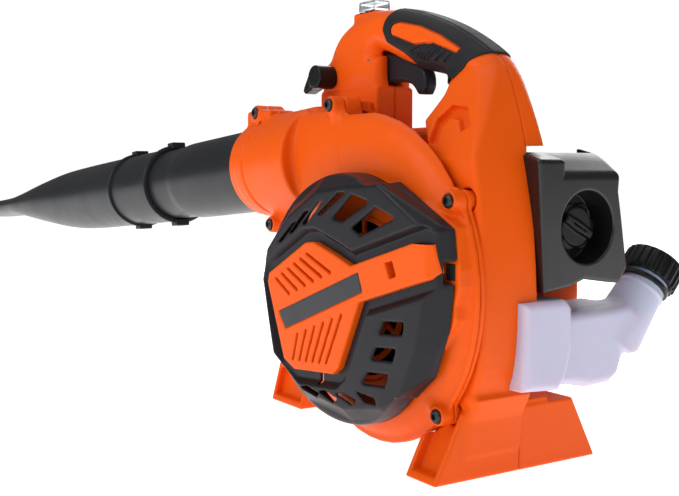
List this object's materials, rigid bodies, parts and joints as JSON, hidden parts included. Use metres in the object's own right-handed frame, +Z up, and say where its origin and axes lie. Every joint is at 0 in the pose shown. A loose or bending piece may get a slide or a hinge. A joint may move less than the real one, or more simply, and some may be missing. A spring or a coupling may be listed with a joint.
{
  "type": "leaf blower",
  "caption": "Handheld petrol leaf blower: scroll fan housing with vented intake door, long flat-tipped air tube, arched handle, two-stroke engine, translucent tank, two feet.",
  "frame": {"origin": "bottom centre of the whole machine's box, on the ground plane it stands on", "axes": "+X towards the nozzle, +Y towards the air intake (the machine's left side), +Z up"},
  "size_m": [1.1332, 0.2917, 0.378],
  "materials": {
    "orange_plastic": "satin moulded",
    "charcoal_plastic": "satin moulded",
    "tube_plastic": "satin extruded",
    "black_plastic": "semi-gloss moulded",
    "soft_grip": "matte overmould",
    "tank_plastic": "milky translucent",
    "clear_plastic": "clear flexible",
    "red_plastic": "gloss moulded",
    "label_grey": "blank label",
    "cast_alloy": "die cast",
    "steel": "machined",
    "dark_steel": "black oxide",
    "fuel_line": "translucent yellow tube",
    "foam": "open cell foam",
    "ceramic": "glazed"
  },
  "bodies": {
    "housing": {"volute_left": "orange_plastic", "volute_right": "orange_plastic", "intake_guard": "orange_plastic", "cover_hinge_pin": "steel", "blower_tube": "tube_plastic", "crank_bearings": "steel", "crankcase": "cast_alloy", "engine_cylinder": "cast_alloy", "spark_plug": "ceramic", "plug_boot": "black_plastic", "ignition_coil": "black_plastic", "starter_housing": "orange_plastic", "rewind_spring": "steel", "starter_grip": "black_plastic", "engine_shroud": "orange_plastic", "muffler": "dark_steel", "muffler_guard": "dark_steel", "intake_insulator": "black_plastic", "carburetor": "cast_alloy", "filter_base": "black_plastic", "filter_foam": "foam", "air_box_cover": "black_plastic", "fuel_tank": "tank_plastic", "cap_tether": "black_plastic", "fuel_lines": "fuel_line", "fuel_filter": "tank_plastic", "frame_left": "orange_plastic", "handle_right": "orange_plastic", "rear_foot_right": "orange_plastic", "grip_overmould": "soft_grip", "trigger_pin": "steel", "switch_body": "black_plastic", "switch_boot": "clear_plastic", "front_foot": "orange_plastic", "housing_screws": "dark_steel"},
    "cover": {"intake_cover": "charcoal_plastic", "intake_insert": "orange_plastic", "badge_plate": "label_grey"},
    "cover_catch": {"cover_latch": "charcoal_plastic"},
    "rotor": {"impeller": "black_plastic", "impeller_nut": "steel", "crankshaft_fan_side": "steel", "crankshaft_starter_side": "steel", "flywheel": "cast_alloy"},
    "piston_group": {"piston": "cast_alloy", "wrist_pin": "steel", "connecting_rod": "steel", "crank_pin": "steel"},
    "rewind_pulley": {"starter_pulley": "tank_plastic"},
    "nozzle": {"nozzle": "tube_plastic"},
    "trigger": {"trigger": "charcoal_plastic"},
    "throttle_lock": {"lock_knob": "black_plastic"},
    "stop_switch": {"stop_switch": "red_plastic"},
    "fuel_cap": {"fuel_cap": "black_plastic"},
    "filter_knob": {"filter_knob": "black_plastic"},
    "choke_lever": {"choke_lever": "red_plastic"},
    "primer": {"primer_bulb": "red_plastic"}
  },
  "joints": [
    {"name": "intake_door", "type": "hinge", "parent": "housing", "child": "cover", "pos_m": [-0.334, 0.106, 0.126], "axis": [0, 0, -1], "range_deg": [0, 100]},
    {"name": "door_catch", "type": "slide", "parent": "housing", "child": "cover_catch", "axis": [-1, 0, 0], "range_m": [0, 0.003], "stiffness_N_per_m": 300},
    {"name": "fan_and_crank", "type": "hinge", "parent": "housing", "child": "rotor", "pos_m": [-0.434, 0.054, 0.126], "axis": [0, 1, 0], "continuous": true},
    {"name": "piston_stroke", "type": "slide", "parent": "housing", "child": "piston_group", "axis": [0, 0, -1], "range_m": [0, 0.026]},
    {"name": "rewind_pulley_spin", "type": "hinge", "parent": "housing", "child": "rewind_pulley", "pos_m": [-0.434, -0.069, 0.126], "axis": [0, 1, 0], "continuous": true},
    {"name": "nozzle_twist", "type": "hinge", "parent": "housing", "child": "nozzle", "pos_m": [-0.239, 0.069, 0.229], "axis": [0.9952, 0.0435, -0.0872], "range_deg": [0, 30]},
    {"name": "trigger_pull", "type": "hinge", "parent": "housing", "child": "trigger", "pos_m": [-0.366, 0.0225, 0.322], "axis": [0, 1, 0], "range_deg": [0, 12], "stiffness_Nm_per_rad": 0.4, "springref_deg": -5.73},
    {"name": "throttle_lock_turn", "type": "hinge", "parent": "housing", "child": "throttle_lock", "pos_m": [-0.31, 0.0425, 0.312], "axis": [0, 1, 0], "range_deg": [-45, 45]},
    {"name": "stop_switch_rock", "type": "hinge", "parent": "housing", "child": "stop_switch", "pos_m": [-0.348, 0.0225, 0.3642], "axis": [0, 1, 0], "range_deg": [-8, 8]},
    {"name": "fuel_cap_twist", "type": "hinge", "parent": "housing", "child": "fuel_cap", "pos_m": [-0.542, -0.122, 0.147], "axis": [0, -0.6428, 0.766], "range_deg": [0, 120]},
    {"name": "filter_knob_twist", "type": "hinge", "parent": "housing", "child": "filter_knob", "pos_m": [-0.548, -0.0235, 0.185], "axis": [-1, 0, 0], "range_deg": [-90, 0]},
    {"name": "choke_turn", "type": "hinge", "parent": "housing", "child": "choke_lever", "pos_m": [-0.5155, -0.046, 0.2], "axis": [1, 0, 0], "range_deg": [0, 45]},
    {"name": "primer_press", "type": "slide", "parent": "housing", "child": "primer", "axis": [0, 1, 0], "range_m": [0, 0.005], "stiffness_N_per_m": 300}
  ]
}
